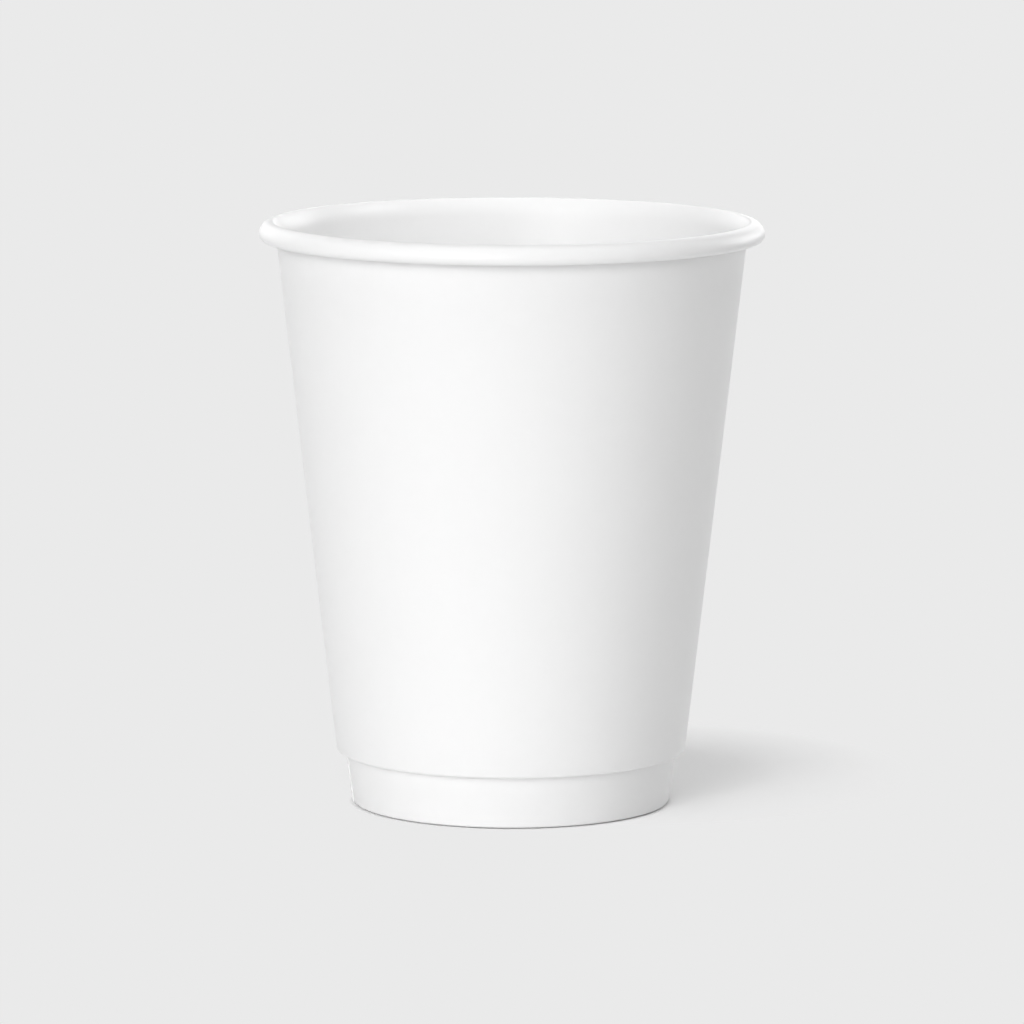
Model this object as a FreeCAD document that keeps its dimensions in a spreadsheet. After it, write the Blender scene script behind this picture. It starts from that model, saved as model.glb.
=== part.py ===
import FreeCAD, Part
import math
import os
import Sketcher

# A double-wall paper cup for hot drinks, standing empty on its foot, in millimetres.
# The axis is Z, the ground is z = 0 and the front of the cup is at -Y.
# Each wall is one sheet, wrapped into a cone and closed by a side lap. A section shows the sheet's two
# faces, and a lap is a place where they lie further apart or further out than one layer does.

SIZES = {
    # The whole cup
    "cup_height": 92.93,
    "rim_diameter": 80.0,
    "foot_diameter": 50.4,
    "piece_gap": 0.05,
    # The sidewall's sheet, and how far a pressed lap stands proud of one layer
    "cup_paper": 0.32,
    "lap_step": 0.15,
    "lap_angle": 12.0,
    "rise_angle": 4.0,
    "cup_seam_azimuth": 174.0,
    # The rolled rim: the wall flares out to a tight lip, then rolls over the top, back underneath and up
    # inside itself
    "flare_radius": 5.5,
    "flare_outside": 1.8,
    "flare_drop": 3.58,
    "lip_radius": 0.6,
    "roll_radius": 2.1,
    "curl_radius": 0.93,
    "tuck_radius": 0.62,
    "tuck_turn": 120.0,
    # The hem that clamps the base
    "hem_height": 6.0,
    "fold_radius": 0.42,
    "slot_gap": 0.03,
    # The drawn base
    "base_paper": 0.28,
    "base_recess": 7.6,
    "base_corner_radius": 0.8,
    # The outer wall and the bead at its foot
    "outer_paper": 0.32,
    "outer_foot_height": 8.26,
    "outer_top_tuck": 0.3,
    "outer_seam_azimuth": 84.0,
    "bead_radius": 0.58,
    "bead_turn": 270.0,
}

# Places that more than one piece is set out from
ROLL_ACROSS = "(Sizes.rim_diameter / 2 - Sizes.roll_radius)"
ROLL_UP = "(Sizes.cup_height - Sizes.roll_radius)"
FLARE_ACROSS = "(Sizes.rim_diameter / 2 + Sizes.flare_outside)"
FLARE_UP = "(Sizes.cup_height - Sizes.flare_drop)"
SLOT_WIDTH = "(Sizes.base_paper + 2 * Sizes.slot_gap)"
OUTER_TOP = "(Sizes.cup_height - Sizes.roll_radius - Sizes.curl_radius + Sizes.outer_top_tuck)"
OUTER_TOP_OFFSET = "(Sizes.lap_step + Sizes.piece_gap + Sizes.outer_paper)"
BEAD_OFFSET = "(2 * Sizes.lap_step + Sizes.piece_gap + Sizes.bead_radius)"
BEAD_UP = "(Sizes.outer_foot_height + Sizes.bead_radius)"

# Names of the ends and centre of a line or an arc in a section, and of its axes
START, END, CENTRE = range(1, 4)
GROUND, AXIS = range(-1, -3, -1)

doc = FreeCAD.newDocument("paper_cup")


def write_sheet():
    """The driving dimensions, one to a row, each under its own name."""
    sheet = doc.addObject("Spreadsheet::Sheet", "Sizes")
    for row, (name, number) in enumerate(SIZES.items(), start=1):
        sheet.set("A%d" % row, str(number))
        sheet.setAlias("A%d" % row, name)
    doc.recompute()


def leaning(point, lean, along, outward):
    """A point reached from another by going up a leaning face, and square out from it."""
    across = point[0] + along * math.sin(lean) + outward * math.cos(lean)
    return across, point[1] + along * math.cos(lean) - outward * math.sin(lean)


def lean_between(low, high, outward):
    """The lean from upright at which the high point stands this far out from the low one, square to it."""
    across = high[0] - low[0]
    rise = high[1] - low[1]
    return math.atan2(across, rise) - math.asin(outward / math.hypot(across, rise))


def round_from(centre, radius, angle):
    """The point on a circle at an angle in radians."""
    return centre[0] + radius * math.cos(angle), centre[1] + radius * math.sin(angle)


def angle_from(centre, point):
    """The angle in radians, from 0 to a full turn, at which a point lies round a centre."""
    return math.atan2(point[1] - centre[1], point[0] - centre[0]) % (2 * math.pi)


def above_both(left, left_reach, right, right_reach):
    """The point above two others that lies at a given reach from each."""
    across, up = right[0] - left[0], right[1] - left[1]
    apart = math.hypot(across, up)
    along = (left_reach ** 2 - right_reach ** 2 + apart ** 2) / (2 * apart)
    rise = math.sqrt(left_reach ** 2 - along ** 2)
    return left[0] + (along * across - rise * up) / apart, left[1] + (along * up + rise * across) / apart


class Section:
    """A section through the cup's axis, with radius across and height up, turned to an azimuth."""

    def __init__(self, body, name, azimuth="0"):
        upright = next(item for item in body.Origin.OriginFeatures if item.Role == "XZ_Plane")
        self.sketch = body.newObject("Sketcher::SketchObject", name)
        self.sketch.AttachmentSupport = (upright, "")
        self.sketch.MapMode = "FlatFace"
        turn = "placement(vector(0; 0; 0); rotation(vector(0; 1; 0); %s))" % azimuth
        self.sketch.setExpression("AttachmentOffset", turn)
        self.draw_wall_line()

    def value(self, formula):
        return float(self.sketch.evalExpression(formula))

    def line(self, start, end, reference=False):
        edge = Part.LineSegment(FreeCAD.Vector(*start, 0), FreeCAD.Vector(*end, 0))
        return self.sketch.addGeometry(edge, reference)

    def circle(self, centre, radius):
        edge = Part.Circle(FreeCAD.Vector(*centre, 0), FreeCAD.Vector(0, 0, 1), radius)
        return self.sketch.addGeometry(edge, True)

    def arc(self, centre, radius, first, last):
        """An arc that runs counter-clockwise between two angles in radians."""
        edge = Part.Circle(FreeCAD.Vector(*centre, 0), FreeCAD.Vector(0, 0, 1), radius)
        return self.sketch.addGeometry(Part.ArcOfCircle(edge, first, last), False)

    def rule(self, kind, *where):
        self.sketch.addConstraint(Sketcher.Constraint(kind, *where))

    def meet(self, *corners):
        """Ends that meet at a corner, each given as edge, end, edge, end."""
        for corner in corners:
            self.rule("Coincident", *corner)

    def flow(self, *joins):
        """Ends that run smoothly into each other."""
        for join in joins:
            self.rule("Tangent", *join)

    def size(self, name, formula, kind, *where):
        """A dimension that follows the sheet."""
        value = self.value(formula)
        if kind == "Angle":
            value = math.radians(value)
        index = self.sketch.addConstraint(Sketcher.Constraint(kind, *where, value))
        self.sketch.renameConstraint(index, name)
        unit = " * 1 deg" if kind == "Angle" else " * 1 mm"
        self.sketch.setExpression("Constraints." + name, "(" + formula + ")" + unit)

    def place(self, name, across, up, edge, end):
        """Two dimensions that fix a point by its radius and its height."""
        self.size(name + "_across", across, "DistanceX", GROUND, START, edge, end)
        self.size(name + "_up", up, "DistanceY", GROUND, START, edge, end)

    def draw_wall_line(self):
        """For reference, the outer face of the sidewall's inner layer, from the ground to its flare."""
        self.foot = (self.value("Sizes.foot_diameter / 2"), 0.0)
        self.flare_centre = (self.value(FLARE_ACROSS), self.value(FLARE_UP))
        radius = self.value("Sizes.flare_radius - Sizes.cup_paper")
        self.lean = lean_between(self.foot, self.flare_centre, radius)
        touch = leaning(self.flare_centre, self.lean, 0, -radius)
        self.flare = self.circle(self.flare_centre, radius)
        self.wall = self.line(self.foot, touch, reference=True)
        self.place("flare_centre", FLARE_ACROSS, FLARE_UP, self.flare, CENTRE)
        self.size("flare_inside", "Sizes.flare_radius - Sizes.cup_paper", "Radius", self.flare)
        self.place("wall_foot", "Sizes.foot_diameter / 2", "0", self.wall, START)
        self.rule("Tangent", self.wall, END, self.flare)

    def off_wall(self, outward, height):
        """The point at a height and at a distance out from the sidewall's outer face."""
        start = leaning(self.foot, self.lean, 0, outward)
        return leaning(start, self.lean, (height - start[1]) / math.cos(self.lean), 0)


def cup_section(body, name, azimuth, inner, outer):
    """The sidewall's sheet from its cut edge inside the roll to its cut edge inside the hem.

    inner and outer are how far its two faces lie from the face that the drink would touch.
    """
    part = Section(body, name, azimuth)
    value = part.value
    near, far = value(inner), value(outer)
    paper, fold_radius = value("Sizes.cup_paper"), value("Sizes.fold_radius")
    lean = part.lean

    # The rolled rim: five arcs for each face
    flare_radius, lip_radius, roll_radius, curl_radius, tuck_radius = (
        value("Sizes.%s_radius" % each) for each in ("flare", "lip", "roll", "curl", "tuck"))
    flare_at = part.flare_centre
    roll_at = (value(ROLL_ACROSS), value(ROLL_UP))
    lip_at = above_both(roll_at, roll_radius - lip_radius, flare_at, flare_radius - lip_radius)
    curl_at = (roll_at[0] + roll_radius - curl_radius, roll_at[1])
    tuck_at = (curl_at[0] + tuck_radius - curl_radius, roll_at[1])
    lip_start, lip_end = angle_from(roll_at, lip_at), angle_from(flare_at, lip_at)
    tuck_end = math.pi - math.radians(value("Sizes.tuck_turn"))
    flare_in = part.arc(flare_at, flare_radius - far, lip_end, math.pi - lean)
    flare_out = part.arc(flare_at, flare_radius - near, lip_end, math.pi - lean)
    lip_in = part.arc(lip_at, lip_radius - far, lip_start, lip_end)
    lip_out = part.arc(lip_at, lip_radius - near, lip_start, lip_end)
    roll_in = part.arc(roll_at, roll_radius - far, 0, lip_start)
    roll_out = part.arc(roll_at, roll_radius - near, 0, lip_start)
    curl_in = part.arc(curl_at, curl_radius - far, math.pi, 2 * math.pi)
    curl_out = part.arc(curl_at, curl_radius - near, math.pi, 2 * math.pi)
    tuck_in = part.arc(tuck_at, tuck_radius - far, tuck_end, math.pi)
    tuck_out = part.arc(tuck_at, tuck_radius - near, tuck_end, math.pi)
    tip = part.line(round_from(tuck_at, tuck_radius - far, tuck_end),
                    round_from(tuck_at, tuck_radius - near, tuck_end))

    # The wall, the two corners of the fold at the ground, and the hem
    hem_face = value("Sizes.cup_paper + " + SLOT_WIDTH) + near
    outer_corner = part.off_wall(far - paper - fold_radius, fold_radius)
    hem_corner = part.off_wall(fold_radius - hem_face - (far - near), fold_radius)
    slot_outer = part.off_wall(near - paper, paper)
    slot_inner = part.off_wall(-hem_face, paper)
    hem_top = part.off_wall(-hem_face, value("Sizes.hem_height"))
    hem_lip = leaning(hem_top, lean, 0, near - far)
    wall_out = part.line(leaning(outer_corner, lean, 0, fold_radius),
                         leaning(flare_at, lean, 0, far - flare_radius))
    wall_in = part.line(slot_outer, leaning(flare_at, lean, 0, near - flare_radius))
    slot_floor = part.line(slot_outer, slot_inner)
    hem_out = part.line(slot_inner, hem_top)
    hem_edge = part.line(hem_top, hem_lip)
    hem_in = part.line(hem_lip, leaning(hem_corner, lean, 0, -fold_radius))
    fold_in = part.arc(hem_corner, fold_radius, math.pi - lean, 1.5 * math.pi)
    fold_out = part.arc(outer_corner, fold_radius, 1.5 * math.pi, 2 * math.pi - lean)
    ground = part.line((hem_corner[0], 0), (outer_corner[0], 0))

    part.flow((wall_out, END, flare_in, END), (flare_in, START, lip_in, END),
              (lip_in, START, roll_in, END), (roll_in, START, curl_in, END),
              (curl_in, START, tuck_in, END), (tuck_out, END, curl_out, START),
              (curl_out, END, roll_out, START), (roll_out, END, lip_out, START),
              (lip_out, END, flare_out, START), (flare_out, END, wall_in, END),
              (hem_in, END, fold_in, START), (fold_in, END, ground, START),
              (ground, END, fold_out, START), (fold_out, END, wall_out, START))
    part.meet((tuck_in, START, tip, START), (tip, END, tuck_out, START),
              (wall_in, START, slot_floor, START), (slot_floor, END, hem_out, START),
              (hem_out, END, hem_edge, START), (hem_edge, END, hem_in, START))

    part.rule("Coincident", flare_in, CENTRE, part.flare, CENTRE)
    part.rule("Coincident", flare_out, CENTRE, part.flare, CENTRE)
    part.place("roll_centre", ROLL_ACROSS, ROLL_UP, roll_in, CENTRE)
    part.rule("Coincident", roll_out, CENTRE, roll_in, CENTRE)
    for arc in (curl_in, curl_out, tuck_in, tuck_out):
        part.rule("Horizontal", arc, CENTRE, roll_in, CENTRE)
    for label, outside, inside in (("flare", flare_out, flare_in), ("lip", lip_out, lip_in),
                                   ("roll", roll_out, roll_in), ("curl", curl_out, curl_in),
                                   ("tuck", tuck_out, tuck_in)):
        part.size(label + "_outside", "Sizes.%s_radius - (%s)" % (label, inner), "Radius", outside)
        part.size(label + "_within", "Sizes.%s_radius - (%s)" % (label, outer), "Radius", inside)
    part.rule("PointOnObject", tuck_in, CENTRE, tip)
    part.size("tip_angle", "180 - Sizes.tuck_turn", "Angle", tip)

    for face in (wall_out, wall_in, hem_out, hem_in):
        part.rule("Parallel", face, part.wall)
    part.rule("Horizontal", slot_floor)
    part.rule("Horizontal", ground)
    part.rule("PointOnObject", ground, START, GROUND)
    part.rule("Perpendicular", hem_edge, hem_out)
    part.size("fold_thickness", "Sizes.cup_paper", "DistanceY", GROUND, START, slot_floor, START)
    part.size("hem_face", "Sizes.cup_paper + %s + (%s)" % (SLOT_WIDTH, inner), "Distance",
              slot_floor, END, part.wall)
    part.size("hem_thickness", "(%s) - (%s)" % (outer, inner), "Distance", hem_edge, END, hem_out)
    part.size("hem_up", "Sizes.hem_height", "DistanceY", GROUND, START, hem_edge, START)
    part.size("fold_inside_radius", "Sizes.fold_radius", "Radius", fold_in)
    part.size("fold_outside_radius", "Sizes.fold_radius", "Radius", fold_out)
    return part.sketch


def outer_section(body, name, azimuth, inner, outer):
    """The outer wall's sheet from its top cut edge, under the rim, to the end of the bead at its foot.

    inner and outer are how far its two faces lie from the face that looks at the inner cup.
    """
    part = Section(body, name, azimuth)
    value = part.value
    near, far = value(inner), value(outer)
    paper, bead_radius = value("Sizes.outer_paper"), value("Sizes.bead_radius")

    # For reference, the sheet's outer face where it is one layer thick, with the bead it runs into
    bead_at = part.off_wall(value(BEAD_OFFSET), value(BEAD_UP))
    top = part.off_wall(value(OUTER_TOP_OFFSET), value(OUTER_TOP))
    lean = lean_between(bead_at, top, bead_radius)
    touch = leaning(bead_at, lean, 0, bead_radius)
    bead = part.circle(bead_at, bead_radius)
    face = part.line(touch, top, reference=True)
    spoke = part.line(bead_at, touch, reference=True)
    part.size("bead_off_wall", BEAD_OFFSET, "Distance", bead, CENTRE, part.wall)
    part.size("bead_up", BEAD_UP, "DistanceY", GROUND, START, bead, CENTRE)
    part.size("bead_size", "Sizes.bead_radius", "Radius", bead)
    part.rule("Tangent", face, START, bead)
    part.meet((spoke, START, bead, CENTRE), (spoke, END, face, START))
    part.size("top_off_wall", OUTER_TOP_OFFSET, "Distance", face, END, part.wall)
    part.size("top_up", OUTER_TOP, "DistanceY", GROUND, START, face, END)

    # The sheet itself
    bead_end = -lean - math.radians(value("Sizes.bead_turn"))
    small, large = bead_radius - paper + near, bead_radius - paper + far
    bead_in = part.arc(bead_at, small, bead_end, -lean)
    bead_out = part.arc(bead_at, large, bead_end, -lean)
    tip = part.line(round_from(bead_at, small, bead_end), round_from(bead_at, large, bead_end))
    edge_out = leaning(top, lean, 0, far - paper)
    edge_in = leaning(top, lean, 0, near - paper)
    wall_out = part.line(leaning(bead_at, lean, 0, large), edge_out)
    wall_in = part.line(leaning(bead_at, lean, 0, small), edge_in)
    edge = part.line(edge_out, edge_in)

    part.flow((wall_out, START, bead_out, END), (wall_in, START, bead_in, END))
    part.meet((wall_out, END, edge, START), (edge, END, wall_in, END), (bead_in, START, tip, START),
              (tip, END, bead_out, START))
    part.rule("Coincident", bead_in, CENTRE, bead, CENTRE)
    part.rule("Coincident", bead_out, CENTRE, bead, CENTRE)
    part.size("bead_inside", "Sizes.bead_radius - Sizes.outer_paper + (%s)" % inner, "Radius", bead_in)
    part.size("bead_outside", "Sizes.bead_radius - Sizes.outer_paper + (%s)" % outer, "Radius", bead_out)
    part.rule("Parallel", wall_out, face)
    part.rule("Parallel", wall_in, face)
    part.rule("Perpendicular", edge, face)
    part.rule("PointOnObject", face, END, edge)
    part.rule("PointOnObject", bead, CENTRE, tip)
    part.size("bead_open", "360 - Sizes.bead_turn", "Angle", spoke, START, tip, START)
    return part.sketch


def turned(body, name, sketch, angle="360", reverse=False):
    """A section swept round the cup's axis."""
    sweep = body.newObject("PartDesign::Revolution", name)
    sweep.Profile = sketch
    sweep.ReferenceAxis = (sketch, ["V_Axis"])
    sweep.Reversed = reverse
    sweep.setExpression("Angle", angle)
    return sweep


def wrapped(label, draw, paper, azimuth):
    """A sheet wrapped round the axis and closed by a pressed side lap.

    One layer runs nearly all the way round. The lap is thicker by its step, and just before it the flap
    that ends on the outside rises over the edge of the flap that ends on the inside.
    """
    body = doc.addObject("PartDesign::Body", label)
    body.Label = label
    raised = paper + " + Sizes.lap_step"
    single = draw(body, label + "_single", azimuth + " - Sizes.rise_angle", "0", paper)
    turned(body, label + "_round", single, "360 - Sizes.lap_angle - Sizes.rise_angle", reverse=True)
    double = draw(body, label + "_double", azimuth, "0", raised)
    turned(body, label + "_lap", double, "Sizes.lap_angle")
    lifted = draw(body, label + "_lifted", azimuth, "Sizes.lap_step", raised)
    rise = body.newObject("PartDesign::AdditiveLoft", label + "_rise")
    rise.Profile = single
    rise.Sections = [lifted]
    rise.Ruled = True
    body.Tip = rise
    return body


def inner_cup():
    """The sidewall, with its rolled rim and its hem."""
    return wrapped("inner_cup", cup_section, "Sizes.cup_paper", "Sizes.cup_seam_azimuth")


def outer_wall():
    """The insulating wall, with the bead that keeps it off the inner cup."""
    return wrapped("outer_wall", outer_section, "Sizes.outer_paper", "Sizes.outer_seam_azimuth")


def bottom_disc():
    """The base: a flat disc whose edge is drawn down into a skirt, which fills the slot of the hem."""
    body = doc.addObject("PartDesign::Body", "bottom_disc")
    body.Label = "bottom_disc"
    part = Section(body, "bottom_disc_section")
    value = part.value
    lean = part.lean
    paper, corner = value("Sizes.base_paper"), value("Sizes.base_corner_radius")
    under = value("Sizes.base_recess")
    face = -value("Sizes.cup_paper + Sizes.slot_gap")
    corner_at = part.off_wall(face - corner, under + paper - corner)
    skirt_foot = part.off_wall(face, value("Sizes.cup_paper + Sizes.slot_gap"))
    skirt_heel = leaning(skirt_foot, lean, 0, -paper)

    axis = part.line((0, under), (0, under + paper))
    top = part.line((0, under + paper), (corner_at[0], under + paper))
    corner_out = part.arc(corner_at, corner, -lean, math.pi / 2)
    skirt_out = part.line(leaning(corner_at, lean, 0, corner), skirt_foot)
    skirt_end = part.line(skirt_foot, skirt_heel)
    skirt_in = part.line(skirt_heel, leaning(corner_at, lean, 0, corner - paper))
    corner_in = part.arc(corner_at, corner - paper, -lean, math.pi / 2)
    bottom = part.line((corner_at[0], under), (0, under))

    part.flow((top, END, corner_out, END), (corner_out, START, skirt_out, START),
              (skirt_in, END, corner_in, START), (corner_in, END, bottom, START))
    part.meet((axis, END, top, START), (skirt_out, END, skirt_end, START), (skirt_end, END, skirt_in, START),
              (bottom, END, axis, START))
    part.rule("PointOnObject", axis, START, AXIS)
    part.rule("Vertical", axis)
    part.rule("Horizontal", top)
    part.rule("Horizontal", bottom)
    part.rule("Parallel", skirt_out, part.wall)
    part.rule("Parallel", skirt_in, part.wall)
    part.rule("Perpendicular", skirt_end, part.wall)
    part.size("recess", "Sizes.base_recess", "DistanceY", GROUND, START, axis, START)
    part.size("disc_thickness", "Sizes.base_paper", "DistanceY", axis, START, axis, END)
    part.size("skirt_face", "Sizes.cup_paper + Sizes.slot_gap", "Distance", skirt_end, START, part.wall)
    part.size("skirt_thickness", "Sizes.base_paper", "Distance", skirt_end, END, skirt_out)
    part.size("skirt_foot", "Sizes.cup_paper + Sizes.slot_gap", "DistanceY", GROUND, START, skirt_end, START)
    part.size("corner_outside", "Sizes.base_corner_radius", "Radius", corner_out)
    part.size("corner_inside", "Sizes.base_corner_radius - Sizes.base_paper", "Radius", corner_in)
    turned(body, "bottom_disc_turned", part.sketch)
    return body


def check(pieces):
    """Stops where an object of the document failed or a piece is not a sound solid."""
    for item in doc.Objects:
        if "Invalid" in item.State or "Error" in item.State:
            raise RuntimeError("%s failed: %s" % (item.Name, item.State))
    for piece in pieces:
        if piece.Shape.isNull() or not piece.Shape.isValid():
            raise RuntimeError("%s has no sound shape" % piece.Label)


write_sheet()
pieces = [inner_cup(), bottom_disc(), outer_wall()]
doc.recompute()
check(pieces)
os.makedirs("parts", exist_ok=True)
for piece in pieces:
    piece.Shape.exportStep("parts/%s.step" % piece.Label)
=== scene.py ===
import bpy
import math
from mathutils import Matrix, Vector

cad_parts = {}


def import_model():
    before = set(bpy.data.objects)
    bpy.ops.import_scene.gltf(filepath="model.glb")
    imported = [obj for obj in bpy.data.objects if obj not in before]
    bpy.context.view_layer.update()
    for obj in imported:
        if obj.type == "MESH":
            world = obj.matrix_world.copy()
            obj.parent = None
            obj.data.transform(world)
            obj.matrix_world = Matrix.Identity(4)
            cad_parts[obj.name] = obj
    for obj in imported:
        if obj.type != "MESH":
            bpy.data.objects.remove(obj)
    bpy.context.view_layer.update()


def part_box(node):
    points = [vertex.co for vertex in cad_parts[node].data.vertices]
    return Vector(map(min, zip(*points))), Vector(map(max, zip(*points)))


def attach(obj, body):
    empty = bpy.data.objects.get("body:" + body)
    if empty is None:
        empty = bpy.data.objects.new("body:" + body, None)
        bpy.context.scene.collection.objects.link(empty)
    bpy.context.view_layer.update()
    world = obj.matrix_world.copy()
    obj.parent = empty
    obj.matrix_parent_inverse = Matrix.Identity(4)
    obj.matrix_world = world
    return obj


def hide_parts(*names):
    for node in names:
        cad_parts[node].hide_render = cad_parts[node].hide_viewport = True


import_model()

# A double-wall paper cup: three sheets of white board, each wrapped or drawn as the real one is.
# Lengths are in metres and angles in degrees, and azimuth 0 is +X, 90 the back of the cup.

MM = 0.001

CUP_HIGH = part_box("inner_cup")[1]
RIM_RADIUS = CUP_HIGH.x
CUP_HEIGHT = CUP_HIGH.z

# The sidewall's board, its side lap and its rolled rim
FOOT_RADIUS = 25.2 * MM
CUP_BOARD = 0.32 * MM
LAP_STEP = 0.15 * MM
LAP_ANGLE = 12.0
RISE_ANGLE = 4.0
GLUE_LINE = 0.01 * MM
CUP_SEAM = 174.0
FLARE_RADIUS = 5.5 * MM
FLARE_OUTSIDE = 1.8 * MM
FLARE_DROP = 3.58 * MM
LIP_RADIUS = 0.6 * MM
ROLL_RADIUS = 2.1 * MM
CURL_RADIUS = 0.93 * MM
TUCK_RADIUS = 0.62 * MM
TUCK_TURN = 120.0

# The hem, the base that it clamps, and its knurled inside
HEM_HEIGHT = 6.0 * MM
FOLD_INSIDE = 0.10 * MM
SLOT_GAP = 0.03 * MM
BASE_BOARD = 0.28 * MM
BASE_RECESS = 7.6 * MM
BASE_CORNER = 0.8 * MM
KNURLS = 60
KNURL_DEPTH = 0.09 * MM
KNURLS_LOW = 1.2 * MM
KNURLS_BELOW_LIP = 0.6 * MM
KNURL_RUNOUT = 0.3 * MM
PLEATS = 48
PLEAT_DEPTH = 0.03 * MM
PLEAT_REACH = 1.0 * MM
PLEAT_DRIFT = 14.0
PLEAT_DRIFT_SCALE = 9.0

# The outer wall and the bead at its foot
OUTER_BOARD = 0.32 * MM
OUTER_FOOT = 8.26 * MM
OUTER_TUCK = 0.3 * MM
OUTER_SEAM = 84.0
PIECE_GAP = 0.05 * MM
BEAD_RADIUS = 0.58 * MM
BEAD_TURN = 270.0

# How the board looks: its colours, its cut edge and dull spots as shares of them, and its two grains
CUP_WHITE = (0.90, 0.90, 0.90)
BASE_WHITE = (0.89, 0.89, 0.89)
CUT_EDGE = (0.95, 0.93, 0.88)
DULL_SPOT = 0.985
MOTTLES_PER_METRE = 420.0
FIBRES_PER_METRE = 3800.0
FIBRE_HEIGHT = 0.02 * MM

# How finely the sheets are made
WRAP_STEPS = 480
DISC_STEPS = 384
SHARP_ANGLE = 35.0
HAIR = 0.01 * MM
SAME_PLACE = 0.001 * MM

# The floor's tone for the light it throws back and as it shows, and where the backdrop's flat tone takes
# over. It lies a hair lower than the foot, as a pressed hem isn't quite level and touches at a few places.
FLOOR_TONE = 0.96
FLOOR_SHOWN = 0.98
BACKDROP = 0.823
FLOOR_REACH = 8.0
FLOOR_DROP = 0.13 * MM
GAP_SHOWN = 25.3 * MM
GAP_GONE = 25.9 * MM
SHADOW_PLACE = (18.0 * MM, 25.0 * MM, 0.0)
SHADOW_FULL = 20.0 * MM
SHADOW_GONE = 47.0 * MM

# The small lamp that fills the cup's inside at the left, over its right rim
INSIDE_AIM = Vector((-30.0, 18.0, 70.0)) * MM
INSIDE_REACH = 550.0 * MM
SNOOT_RADIUS = 12.0 * MM

# The photograph's camera
CAMERA_DISTANCE = 1.093
CAMERA_PITCH = 8.15
CAMERA_AIM = Vector((0.0001, 0.0, 0.04636))
CAMERA_ROLL = 0.096
FOCAL_PIXELS = 6873.0
IMAGE_PIXELS = 1024.0
SENSOR = 36.0


class Value:
    """A number that a node tree works out. Sums on it add the tree's Math nodes."""

    def __init__(self, tree, socket):
        self.tree = tree
        self.socket = socket

    def sum(self, operation, *numbers):
        return self.tree.add("ShaderNodeMath", {"operation": operation}, dict(enumerate(numbers)))

    def __add__(self, other):
        return self.sum("ADD", self, other)

    __radd__ = __add__

    def __sub__(self, other):
        return self.sum("SUBTRACT", self, other)

    def __rsub__(self, other):
        return self.sum("SUBTRACT", other, self)

    def __mul__(self, other):
        return self.sum("MULTIPLY", self, other)

    __rmul__ = __mul__

    def __truediv__(self, other):
        return self.sum("DIVIDE", self, other)

    def cos(self):
        return self.sum("COSINE", self)

    def sin(self):
        return self.sum("SINE", self)

    def at_least(self, other):
        return self.sum("MAXIMUM", self, other)

    def share(self):
        """The number held between 0 and 1."""
        return self.sum("MINIMUM", self.at_least(0.0), 1.0)


class Tree:
    """A node tree that is written as calls: add() makes any node, and sums make the rest."""

    def __init__(self, nodes):
        self.nodes = nodes

    def add(self, kind, settings=None, sockets=None, out=0):
        node = self.nodes.nodes.new(kind)
        for name, setting in (settings or {}).items():
            setattr(node, name, setting)
        for key, given in (sockets or {}).items():
            socket = node.inputs[key]
            if isinstance(given, Value):
                self.nodes.links.new(given.socket, socket)
            else:
                socket.default_value = given
        return Value(self, node.outputs[out])


class SectionLine:
    """The line that a sheet's near face follows in a section, and which way its thickness lies."""

    def __init__(self):
        self.points = []

    def at(self, across, up, out, rib=0.0):
        self.points.append((across, up, out[0], out[1], rib))

    def straight(self, start, end, out, steps, rib=0.0):
        for step in range(steps + 1):
            share = step / steps
            self.at(start[0] + (end[0] - start[0]) * share, start[1] + (end[1] - start[1]) * share, out, rib)

    def arc(self, centre, radius, first, last, steps, outward=-1.0, rib=0.0):
        """A round stretch between two angles. outward is 1 where the thickness lies outside the arc."""
        for step in range(steps + 1):
            angle = math.radians(first + (last - first) * step / steps)
            toward = (math.cos(angle), math.sin(angle))
            self.at(centre[0] + radius * toward[0], centre[1] + radius * toward[1],
                    (outward * toward[0], outward * toward[1]), rib)

    def cleaned(self):
        """The points without those that repeat the one before."""
        kept = []
        for point in self.points:
            if not kept or any(abs(a - b) > 1e-9 for a, b in zip(point, kept[-1])):
                kept.append(point)
        return kept


def leaning(point, lean, along, outward):
    """A point reached from another by going up a leaning face, and square out from it."""
    across = point[0] + along * math.sin(lean) + outward * math.cos(lean)
    return across, point[1] + along * math.cos(lean) - outward * math.sin(lean)


def lean_between(low, high, outward):
    """The lean at which the high point stands this far out from the low one, square to it."""
    across = high[0] - low[0]
    rise = high[1] - low[1]
    return math.atan2(across, rise) - math.asin(outward / math.hypot(across, rise))


def above_both(left, left_reach, right, right_reach):
    """The point above two others that lies at a given reach from each."""
    across, up = right[0] - left[0], right[1] - left[1]
    apart = math.hypot(across, up)
    along = (left_reach ** 2 - right_reach ** 2 + apart ** 2) / (2 * apart)
    rise = math.sqrt(left_reach ** 2 - along ** 2)
    return left[0] + (along * across - rise * up) / apart, left[1] + (along * up + rise * across) / apart


def angle_from(centre, point):
    """The angle at which a point lies round a centre."""
    return math.degrees(math.atan2(point[1] - centre[1], point[0] - centre[0]))


ROLL_CENTRE = (RIM_RADIUS - ROLL_RADIUS, CUP_HEIGHT - ROLL_RADIUS)
FLARE_CENTRE = (RIM_RADIUS + FLARE_OUTSIDE, CUP_HEIGHT - FLARE_DROP)
WALL_FOOT = (FOOT_RADIUS, 0.0)
WALL_LEAN = lean_between(WALL_FOOT, FLARE_CENTRE, FLARE_RADIUS - CUP_BOARD)


def off_wall(outward, height):
    """The point at a height and at a distance out from the sidewall's outer face."""
    start = leaning(WALL_FOOT, WALL_LEAN, 0, outward)
    return leaning(start, WALL_LEAN, (height - start[1]) / math.cos(WALL_LEAN), 0)


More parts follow.
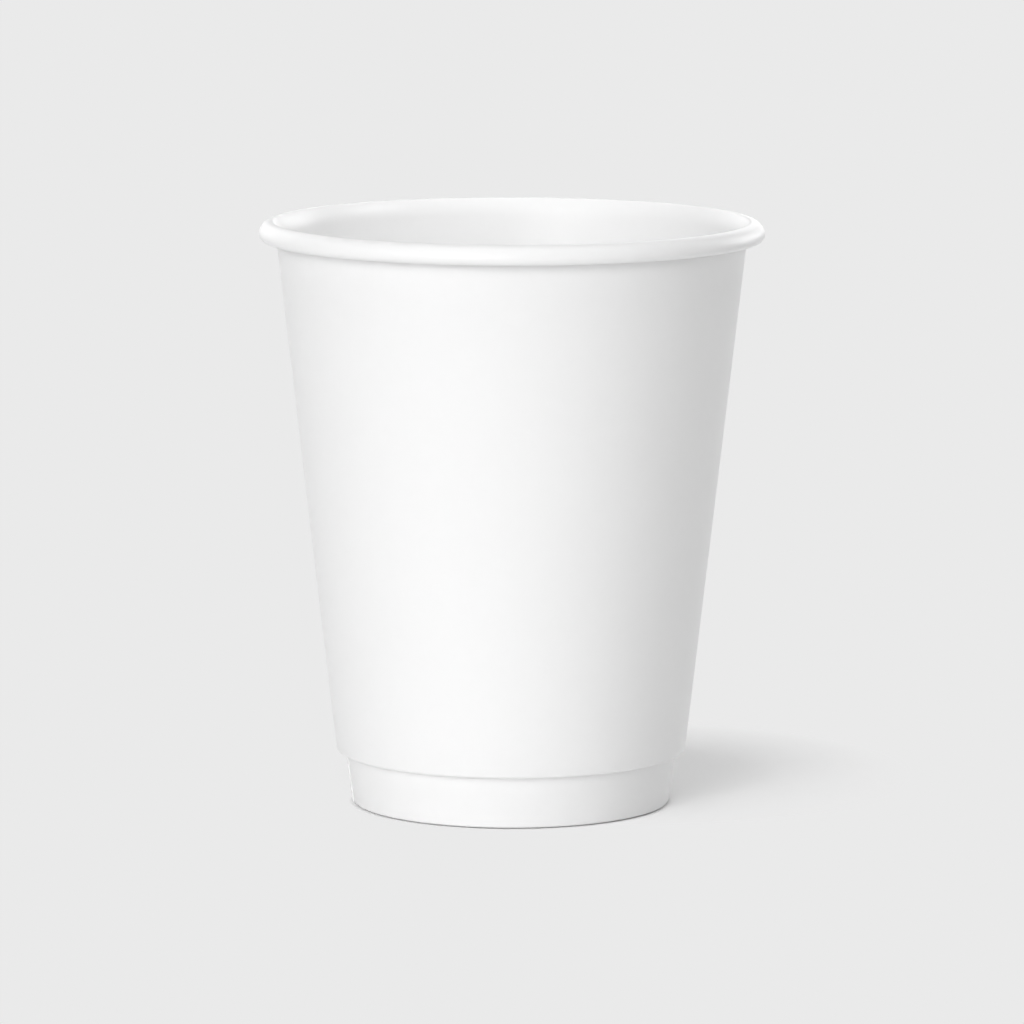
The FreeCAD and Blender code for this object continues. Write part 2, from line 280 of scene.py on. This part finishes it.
def near_end(end, beside):
    """A point a hair's breadth from a sheet's end, so that the tone of its cut edge stays on the edge."""
    share = HAIR / math.hypot(beside[0] - end[0], beside[1] - end[1])
    return tuple(a + (b - a) * share for a, b in zip(end, beside))


def section_mesh(name, line):
    """A closed ring of edges: up the sheet's near face and back down its far face.

    Its points lie on the near face. What moves them out is in their attributes.
    """
    points = line.cleaned()
    points.insert(-1, near_end(points[-1], points[-2]))
    cut = [points[-1]]
    if points[0][0] > 0.0:
        points.insert(1, near_end(points[0], points[1]))
        cut.append(points[0])
    ring = [(point, 0.0) for point in points] + [(point, 1.0) for point in reversed(points)]
    mesh = bpy.data.meshes.new(name)
    count = len(ring)
    mesh.from_pydata([(point[0], point[1], 0.0) for point, side in ring],
                     [(i, (i + 1) % count) for i in range(count)], [])
    columns = {
        "across": [point[0] for point, side in ring],
        "up": [point[1] for point, side in ring],
        "out_across": [point[2] for point, side in ring],
        "out_up": [point[3] for point, side in ring],
        "rib": [point[4] * side for point, side in ring],
        "side": [side for point, side in ring],
        "cut": [1.0 if point in cut else 0.0 for point, side in ring],
    }
    for title, column in columns.items():
        mesh.attributes.new(title, "FLOAT", "POINT").data.foreach_set("value", column)
    return mesh


def wrap_tree():
    """The rule that wraps a section round the axis, with a pressed lap where the sheet's ends meet."""
    nodes = bpy.data.node_groups.new("wrap_a_sheet", "GeometryNodeTree")
    for name, kind in (("Section", "NodeSocketGeometry"), ("Seam", "NodeSocketFloat"),
                       ("Sweep", "NodeSocketFloat"), ("Steps", "NodeSocketInt"),
                       ("Lap", "NodeSocketFloat"), ("Rise", "NodeSocketFloat"),
                       ("Board", "NodeSocketFloat"), ("Step", "NodeSocketFloat"),
                       ("Glue", "NodeSocketFloat"), ("Ribs", "NodeSocketFloat"),
                       ("Rib depth", "NodeSocketFloat"), ("Unevenness", "NodeSocketFloat"),
                       ("Has ends", "NodeSocketBool"), ("Finish", "NodeSocketMaterial")):
        nodes.interface.new_socket(name, in_out="INPUT", socket_type=kind)
    nodes.interface.new_socket("Sheet", in_out="OUTPUT", socket_type="NodeSocketGeometry")
    tree = Tree(nodes)
    entry = nodes.nodes.new("NodeGroupInput")
    given = {socket.name: Value(tree, socket) for socket in entry.outputs if socket.name}

    def read(name):
        return tree.add("GeometryNodeInputNamedAttribute", {"data_type": "FLOAT"}, {"Name": name})

    def store(geometry, name, number):
        return tree.add("GeometryNodeStoreNamedAttribute", {"data_type": "FLOAT", "domain": "POINT"},
                        {"Geometry": geometry, "Name": name, "Value": number})

    # The sheet is first a straight run of sections, numbered by how far each one turns
    run = tree.add("GeometryNodeCurvePrimitiveLine", None, {"Start": (0, 0, 0), "End": (0, 0, 1)})
    run = tree.add("GeometryNodeResampleCurve", None, {"Curve": run, "Count": given["Steps"] + 1.0})
    run = store(run, "turn", tree.add("GeometryNodeSplineParameter") * given["Sweep"])
    ring = tree.add("GeometryNodeMeshToCurve", None, {"Mesh": given["Section"]})
    sheet = tree.add("GeometryNodeCurveToMesh", None,
                     {"Curve": run, "Profile Curve": ring, "Fill Caps": given["Has ends"]})

    # Both flaps of the lap are pressed thin, and the upper one climbs on to the lower
    turn = read("turn")
    azimuth = turn + given["Seam"]
    pressed = (given["Board"] + given["Step"] - given["Glue"]) / 2.0
    climb = ((turn - (2 * math.pi - given["Rise"])) / given["Rise"]).share() * given["Has ends"]
    past_lap = ((turn - given["Lap"]) / (given["Rise"] / 8.0)).share()
    full = past_lap * (1.0 - climb)
    thickness = pressed + (given["Board"] - pressed) * full
    near = climb * (pressed + given["Glue"])

    # Knurls and pleats are waves round the axis
    around = tree.add("ShaderNodeCombineXYZ", None, {"X": azimuth.cos(), "Y": azimuth.sin()})
    drift = tree.add("ShaderNodeTexNoise", {"noise_dimensions": "3D"},
                     {"Vector": around, "Scale": PLEAT_DRIFT_SCALE, "Detail": 1.0})
    wave = (azimuth * given["Ribs"] + drift * given["Unevenness"]).cos() * 0.5 + 0.5
    offset = near + read("side") * thickness - read("rib") * given["Rib depth"] * wave

    radius = read("across") + read("out_across") * offset
    height = (read("up") + read("out_up") * offset).at_least(0.0)
    place = tree.add("ShaderNodeCombineXYZ", None,
                     {"X": radius * azimuth.cos(), "Y": radius * azimuth.sin(), "Z": height})
    sheet = tree.add("GeometryNodeSetPosition", None, {"Geometry": sheet, "Position": place})
    sheet = tree.add("GeometryNodeMergeByDistance", None, {"Geometry": sheet, "Distance": SAME_PLACE})

    # A disc's section also runs along the axis, where it turns into an edge without a face
    faces = tree.add("GeometryNodeInputMeshEdgeNeighbors")
    sheet = tree.add("GeometryNodeDeleteGeometry", {"domain": "EDGE", "mode": "EDGE_FACE"},
                     {"Geometry": sheet, "Selection": 1.0 - faces.share()})
    sheet = tree.add("GeometryNodeSetShadeSmooth", None, {"Geometry": sheet, "Shade Smooth": True})
    sheet = tree.add("GeometryNodeSetMaterial", None, {"Geometry": sheet, "Material": given["Finish"]})
    leave = nodes.nodes.new("NodeGroupOutput")
    nodes.links.new(sheet.socket, leave.inputs["Sheet"])
    return nodes


def made_with(tree, name, mesh, inputs):
    """Runs a tree on a mesh and keeps what it makes as a plain piece."""
    host = bpy.data.objects.new(name + "_host", mesh)
    bpy.context.scene.collection.objects.link(host)
    modifier = host.modifiers.new("make", "NODES")
    modifier.node_group = tree
    for socket in tree.interface.items_tree:
        if socket.in_out == "INPUT" and socket.name in inputs:
            modifier[socket.identifier] = inputs[socket.name]
    graph = bpy.context.evaluated_depsgraph_get()
    plain = bpy.data.meshes.new_from_object(host.evaluated_get(graph), depsgraph=graph)
    plain.name = name
    bpy.data.objects.remove(host)
    turn_outward(plain)
    plain.set_sharp_from_angle(angle=math.radians(SHARP_ANGLE))
    piece = bpy.data.objects.new(name, plain)
    bpy.context.scene.collection.objects.link(piece)
    return piece


def turn_outward(mesh):
    """Flips a closed mesh whose faces point inwards, which shows in the sign of its volume."""
    volume = 0.0
    mesh.calc_loop_triangles()
    for triangle in mesh.loop_triangles:
        a, b, c = (mesh.vertices[i].co for i in triangle.vertices)
        volume += a.dot(b.cross(c))
    if volume < 0:
        mesh.flip_normals()


def cup_line():
    """The sidewall's near face: from inside the roll, over the rim, down the wall and up the hem."""
    lean = math.degrees(WALL_LEAN)
    lip_centre = above_both(ROLL_CENTRE, ROLL_RADIUS - LIP_RADIUS, FLARE_CENTRE, FLARE_RADIUS - LIP_RADIUS)
    curl_centre = (ROLL_CENTRE[0] + ROLL_RADIUS - CURL_RADIUS, ROLL_CENTRE[1])
    tuck_centre = (curl_centre[0] - CURL_RADIUS + TUCK_RADIUS, ROLL_CENTRE[1])
    outward = (math.cos(WALL_LEAN), -math.sin(WALL_LEAN))
    inward = (-outward[0], -outward[1])
    slot = BASE_BOARD + 2 * SLOT_GAP
    fold_outer = off_wall(-CUP_BOARD - FOLD_INSIDE, CUP_BOARD + FOLD_INSIDE)
    fold_inner = off_wall(-CUP_BOARD - slot + FOLD_INSIDE, CUP_BOARD + FOLD_INSIDE)
    hem_lip = off_wall(-CUP_BOARD - slot, HEM_HEIGHT)
    below_knurls, knurls_low, knurls_high, above_knurls = (
        off_wall(-CUP_BOARD - slot, height) for height in (
            KNURLS_LOW - KNURL_RUNOUT, KNURLS_LOW, HEM_HEIGHT - KNURLS_BELOW_LIP,
            HEM_HEIGHT - KNURLS_BELOW_LIP + KNURL_RUNOUT))
    roll_end = angle_from(ROLL_CENTRE, lip_centre)
    flare_end = angle_from(FLARE_CENTRE, lip_centre)
    line = SectionLine()
    line.arc(tuck_centre, TUCK_RADIUS, 180 - TUCK_TURN, 180, 8)
    line.arc(curl_centre, CURL_RADIUS, 180, 360, 14)
    line.arc(ROLL_CENTRE, ROLL_RADIUS, 0, roll_end, 14)
    line.arc(lip_centre, LIP_RADIUS, roll_end, flare_end, 9)
    line.arc(FLARE_CENTRE, FLARE_RADIUS, flare_end, 180 - lean, 8)
    line.straight(leaning(FLARE_CENTRE, WALL_LEAN, 0, -FLARE_RADIUS),
                  leaning(fold_outer, WALL_LEAN, 0, FOLD_INSIDE), outward, 12)
    line.arc(fold_outer, FOLD_INSIDE, -lean, -90, 6, outward=1.0)
    line.arc(fold_inner, FOLD_INSIDE, -90, -180 - lean, 6, outward=1.0)
    line.straight(leaning(fold_inner, WALL_LEAN, 0, -FOLD_INSIDE), below_knurls, inward, 1)
    line.straight(knurls_low, knurls_high, inward, 3, rib=1.0)
    line.straight(above_knurls, hem_lip, inward, 2)
    return line


def outer_line():
    """The outer wall's near face: from its cut edge under the rim down to the end of its bead."""
    bead_centre = off_wall(2 * LAP_STEP + PIECE_GAP + BEAD_RADIUS, OUTER_FOOT + BEAD_RADIUS)
    roll_low = CUP_HEIGHT - ROLL_RADIUS - CURL_RADIUS
    top = off_wall(LAP_STEP + PIECE_GAP + OUTER_BOARD, roll_low + OUTER_TUCK)
    lean = lean_between(bead_centre, top, BEAD_RADIUS)
    small = BEAD_RADIUS - OUTER_BOARD
    outward = (math.cos(lean), -math.sin(lean))
    side = -math.degrees(lean)
    line = SectionLine()
    line.straight(leaning(top, lean, 0, -OUTER_BOARD), leaning(bead_centre, lean, 0, small), outward, 14)
    line.arc(bead_centre, small, side, side - BEAD_TURN, 18, outward=1.0)
    return line


def base_line():
    """The base's near face: its underside from the axis to the corner, and down the skirt's inside."""
    face = -(CUP_BOARD + SLOT_GAP)
    corner = off_wall(face - BASE_CORNER, BASE_RECESS + BASE_BOARD - BASE_CORNER)
    heel = leaning(off_wall(face, CUP_BOARD + SLOT_GAP), WALL_LEAN, 0, -BASE_BOARD)
    small = BASE_CORNER - BASE_BOARD
    outward = (math.cos(WALL_LEAN), -math.sin(WALL_LEAN))
    line = SectionLine()
    line.straight((0.0, BASE_RECESS), (corner[0] - 2 * PLEAT_REACH, BASE_RECESS), (0.0, 1.0), 6)
    line.straight((corner[0] - PLEAT_REACH, BASE_RECESS), (corner[0], BASE_RECESS), (0.0, 1.0), 2, rib=0.3)
    line.arc(corner, small, 90, -math.degrees(WALL_LEAN), 8, outward=1.0, rib=1.0)
    line.straight(leaning(corner, WALL_LEAN, 0, small), heel, outward, 4)
    return line


def board_finish(name, colour, lining=0.0):
    """White cup board: faintly mottled, with a fine felt of fibres and creamier cut edges.

    lining is the share of the near face's sheen that a plastic lining gives.
    """
    material = bpy.data.materials.new(name)
    material.use_nodes = True
    tree = Tree(material.node_tree)
    shader = material.node_tree.nodes["Principled BSDF"]
    place = tree.add("ShaderNodeTexCoord", out="Object")
    mottle = tree.add("ShaderNodeTexNoise", None,
                      {"Vector": place, "Scale": MOTTLES_PER_METRE, "Detail": 3.0})
    fibre = tree.add("ShaderNodeTexNoise", None,
                     {"Vector": place, "Scale": FIBRES_PER_METRE, "Detail": 4.0})
    cut = tree.add("ShaderNodeAttribute", {"attribute_name": "cut"}, out="Fac")
    side = tree.add("ShaderNodeAttribute", {"attribute_name": "side"}, out="Fac")
    lined = (1.0 - side) * (1.0 - cut) * lining
    pale = colour + (1.0,)
    dull = tuple(channel * DULL_SPOT for channel in colour) + (1.0,)
    creamy = tuple(channel * share for channel, share in zip(colour, CUT_EDGE)) + (1.0,)
    tone = tree.add("ShaderNodeMix", {"data_type": "RGBA"}, {0: mottle, 6: pale, 7: dull}, out=2)
    tone = tree.add("ShaderNodeMix", {"data_type": "RGBA"}, {0: cut * 0.8, 6: tone, 7: creamy}, out=2)
    rough = 0.62 + (mottle - 0.5) * 0.08 - lined * 0.24
    height = tree.add("ShaderNodeBump", None, {"Strength": 0.12, "Distance": FIBRE_HEIGHT, "Height": fibre})
    links = material.node_tree.links
    links.new(tone.socket, shader.inputs["Base Color"])
    links.new(rough.socket, shader.inputs["Roughness"])
    links.new(height.socket, shader.inputs["Normal"])
    shader.inputs["Specular IOR Level"].default_value = 0.35
    return material


def wrapped(name, line, seam, board, finish, ribs=0.0):
    """A sheet wrapped round the axis, with its side lap."""
    return made_with(WRAP, name, section_mesh(name + "_section", line), {
        "Seam": math.radians(seam), "Sweep": math.radians(360.0 + LAP_ANGLE), "Steps": WRAP_STEPS,
        "Lap": math.radians(LAP_ANGLE), "Rise": math.radians(RISE_ANGLE), "Board": board,
        "Step": LAP_STEP, "Glue": GLUE_LINE, "Ribs": ribs, "Rib depth": KNURL_DEPTH,
        "Unevenness": 0.0, "Has ends": True, "Finish": finish})


def drawn(name, line, board, finish):
    """A disc drawn from one sheet, with small pleats round its corner. It has no lap and no ends."""
    return made_with(WRAP, name, section_mesh(name + "_section", line), {
        "Seam": 0.0, "Sweep": math.radians(360.0), "Steps": DISC_STEPS, "Lap": -1.0, "Rise": 0.001,
        "Board": board, "Step": 0.0, "Glue": 0.0, "Ribs": float(PLEATS), "Rib depth": PLEAT_DEPTH,
        "Unevenness": PLEAT_DRIFT, "Has ends": False, "Finish": finish})


def seen_ray(tree):
    """1 for a ray that shows what it meets: one from the camera, or through gloss or glass."""
    camera_ray, glossy_ray, clear_ray = (
        tree.add("ShaderNodeLightPath", out=name) for name in ("Is Camera Ray", "Is Glossy Ray",
                                                               "Is Transmission Ray"))
    return (camera_ray + glossy_ray + clear_ray).share()


def grey_of(tone):
    """A plain grey as a colour."""
    return (tone, tone, tone, 1.0)


def floor():
    """A broad pale floor, which shows the backdrop's flat tone except beside the foot.

    There, and in the narrow gap under the hem, it shows its own shading.
    """
    mesh = bpy.data.meshes.new("floor")
    corners = ((-1, -1), (1, -1), (1, 1), (-1, 1))
    mesh.from_pydata([(FLOOR_REACH * x, FLOOR_REACH * y, -FLOOR_DROP) for x, y in corners], [],
                     [(0, 1, 2, 3)])
    material = bpy.data.materials.new("floor_paint")
    material.use_nodes = True
    tree = Tree(material.node_tree)
    paint = material.node_tree.nodes["Principled BSDF"]
    paint.inputs["Roughness"].default_value = 1.0
    paint.inputs["Specular IOR Level"].default_value = 0.0
    seen = seen_ray(tree)
    grey = tree.add("ShaderNodeMix", {"data_type": "RGBA"},
                    {0: seen, 6: grey_of(FLOOR_TONE), 7: grey_of(FLOOR_SHOWN)}, out=2)
    tree.nodes.links.new(grey.socket, paint.inputs["Base Color"])
    place = tree.add("ShaderNodeTexCoord", out="Object")
    from_axis, from_shadow = (
        tree.add("ShaderNodeVectorMath", {"operation": "DISTANCE"}, {0: place, 1: centre}, out="Value")
        for centre in ((0.0, 0.0, -FLOOR_DROP), SHADOW_PLACE))
    in_gap = ((GAP_GONE - from_axis) / (GAP_GONE - GAP_SHOWN)).share()
    fade = ((from_shadow - SHADOW_FULL) / (SHADOW_GONE - SHADOW_FULL)).share() * (1.0 - in_gap)
    flat = tree.add("ShaderNodeEmission", None, {"Color": grey_of(BACKDROP)})
    both = tree.add("ShaderNodeMixShader", None,
                    {0: fade * seen, 1: Value(tree, paint.outputs[0]), 2: flat})
    tree.nodes.links.new(both.socket, material.node_tree.nodes["Material Output"].inputs["Surface"])
    mesh.materials.append(material)
    ground = bpy.data.objects.new("floor", mesh)
    bpy.context.scene.collection.objects.link(ground)


def towards(azimuth, elevation):
    """The direction of a place in the sky, seen from the cup."""
    turn, height = math.radians(azimuth), math.radians(elevation)
    return Vector((math.cos(height) * math.cos(turn), math.cos(height) * math.sin(turn), math.sin(height)))


def sun(name, azimuth, elevation, spread, strength):
    """A far, soft lamp. Azimuth is where it stands, seen from above, with -90 in front of the cup."""
    lamp = bpy.data.lights.new(name, "SUN")
    lamp.angle = math.radians(spread)
    lamp.energy = strength
    item = bpy.data.objects.new(name, lamp)
    toward = towards(azimuth, elevation)
    item.rotation_mode = "QUATERNION"
    item.rotation_quaternion = toward.to_track_quat("Z", "Y")
    bpy.context.scene.collection.objects.link(item)


def snooted(name, aim, distance, azimuth, elevation, cone, power):
    """A small lamp whose narrow beam has a soft edge, aimed at one place."""
    lamp = bpy.data.lights.new(name, "SPOT")
    lamp.energy = power
    lamp.spot_size = math.radians(cone)
    lamp.spot_blend = 1.0
    lamp.shadow_soft_size = SNOOT_RADIUS
    item = bpy.data.objects.new(name, lamp)
    toward = towards(azimuth, elevation)
    item.location = aim + toward * distance
    item.rotation_mode = "QUATERNION"
    item.rotation_quaternion = toward.to_track_quat("Z", "Y")
    bpy.context.scene.collection.objects.link(item)


def world():
    """A room that gives no light, but shows the backdrop's tone where the camera looks past the floor."""
    sky = bpy.data.worlds.new("room")
    sky.use_nodes = True
    tree = Tree(sky.node_tree)
    background = sky.node_tree.nodes["Background"]
    background.inputs["Color"].default_value = (1.0, 1.0, 1.0, 1.0)
    level = seen_ray(tree) * BACKDROP
    sky.node_tree.links.new(level.socket, background.inputs["Strength"])
    bpy.context.scene.world = sky


def camera():
    """The photograph's view: a long lens, a little above the rim."""
    lens = bpy.data.cameras.new("camera")
    lens.sensor_width = SENSOR
    lens.lens = FOCAL_PIXELS / IMAGE_PIXELS * SENSOR
    lens.clip_end = 30.0
    item = bpy.data.objects.new("camera", lens)
    pitch = math.radians(CAMERA_PITCH)
    back = Vector((0.0, -math.cos(pitch), math.sin(pitch))) * CAMERA_DISTANCE
    turn = Matrix.Rotation(math.radians(90.0 - CAMERA_PITCH), 4, "X") @ Matrix.Rotation(
        math.radians(CAMERA_ROLL), 4, "Z")
    item.matrix_world = Matrix.Translation(CAMERA_AIM + back) @ turn
    bpy.context.scene.collection.objects.link(item)
    bpy.context.scene.camera = item


WRAP = wrap_tree()
CUP_FINISH = board_finish("cup_board", CUP_WHITE, lining=1.0)
BASE_FINISH = board_finish("base_board", BASE_WHITE)
OUTER_FINISH = board_finish("outer_board", CUP_WHITE)

cup = wrapped("cup_sheet", cup_line(), CUP_SEAM, CUP_BOARD, CUP_FINISH, ribs=float(KNURLS))
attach(cup, "root")
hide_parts("inner_cup")

outer = wrapped("outer_sheet", outer_line(), OUTER_SEAM, OUTER_BOARD, OUTER_FINISH)
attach(outer, "root")
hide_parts("outer_wall")

base = drawn("base_sheet", base_line(), BASE_BOARD, BASE_FINISH)
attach(base, "root")
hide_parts("bottom_disc")

floor()
world()
sun("key", -115.0, 18.0, 30.0, 1.02)
sun("broad_key", -125.0, 22.0, 60.0, 1.04)
sun("front_fill", -60.0, 20.0, 60.0, 0.46)
sun("top_light", 0.0, 88.0, 60.0, 1.29)
sun("right_edge", 45.0, 12.0, 25.0, 0.70)
sun("back_right", 75.0, 10.0, 30.0, 0.32)
sun("back_left", 120.0, 15.0, 40.0, 0.48)
snooted("inside_fill", INSIDE_AIM, INSIDE_REACH, -5.0, 37.0, 5.6, 5.9)
camera()
bpy.context.scene.view_settings.view_transform = "Standard"
